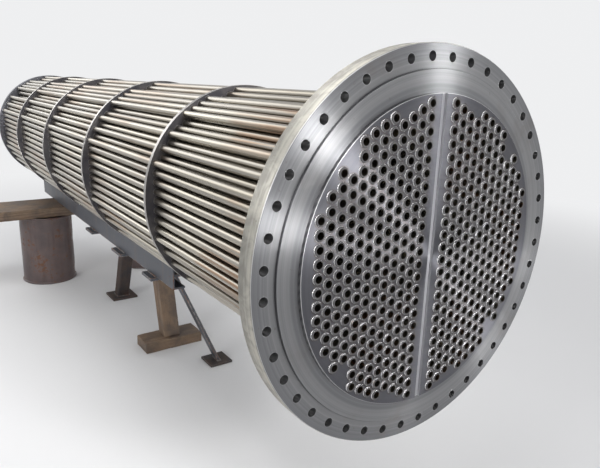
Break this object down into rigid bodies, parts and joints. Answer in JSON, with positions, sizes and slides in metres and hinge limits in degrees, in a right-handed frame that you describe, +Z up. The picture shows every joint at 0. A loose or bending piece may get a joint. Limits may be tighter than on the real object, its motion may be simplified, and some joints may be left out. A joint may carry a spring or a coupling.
{
  "type": "shell and tube heat exchanger tube bundle",
  "caption": "Straight tube bundle of a shell and tube heat exchanger: drilled bolting tubesheet, tube field, round support plates and floating tubesheet on a low fabrication stand.",
  "frame": {"origin": "on the floor, below the bundle axis, halfway along the tubes", "axes": "+X along the tubes and out of the front tubesheet, +Y to the side where the raking leg stands, +Z up"},
  "size_m": [3.14, 1.12, 1.2384],
  "materials": {
    "machined_steel": "turned face with circular tool lines, drilled holes",
    "tube_steel": "satin drawn tube with slight heat tint near the tubesheet",
    "plate_steel": "grey rolled plate with a bright turned rim",
    "rod_steel": "plain bar steel, dull",
    "painted_steel": "worn grey-blue shop paint",
    "rusty_steel": "bare section steel with even brown rust",
    "timber": "sawn, dirty and scuffed",
    "drum_steel": "old brown-red paint with rust"
  },
  "bodies": {
    "root": {"front_tubesheet": "machined_steel", "floating_tubesheet": "machined_steel", "support_plate_1": "plate_steel", "support_plate_2": "plate_steel", "support_plate_3": "plate_steel", "support_plate_4": "plate_steel", "left_tubes_inner": "tube_steel", "left_tubes_middle": "tube_steel", "left_tubes_outer": "tube_steel", "left_tubes_edge": "tube_steel", "right_tubes_inner": "tube_steel", "right_tubes_middle": "tube_steel", "right_tubes_outer": "tube_steel", "right_tubes_edge": "tube_steel", "tie_rods": "rod_steel", "tie_rod_nuts": "rod_steel", "spacers_1": "tube_steel", "spacers_2": "tube_steel", "spacers_3": "tube_steel", "spacers_4": "tube_steel", "left_rail": "painted_steel", "right_rail": "painted_steel", "timber_head_plate": "painted_steel", "timber_post": "timber", "timber_sill": "timber", "steel_head_plate": "painted_steel", "steel_post": "rusty_steel", "steel_base_plate": "rusty_steel", "raking_leg": "painted_steel", "leg_head_plate": "painted_steel", "leg_foot_plate": "rusty_steel", "rear_plank": "timber", "left_drum": "drum_steel", "right_drum": "drum_steel"}
  },
  "joints": []
}
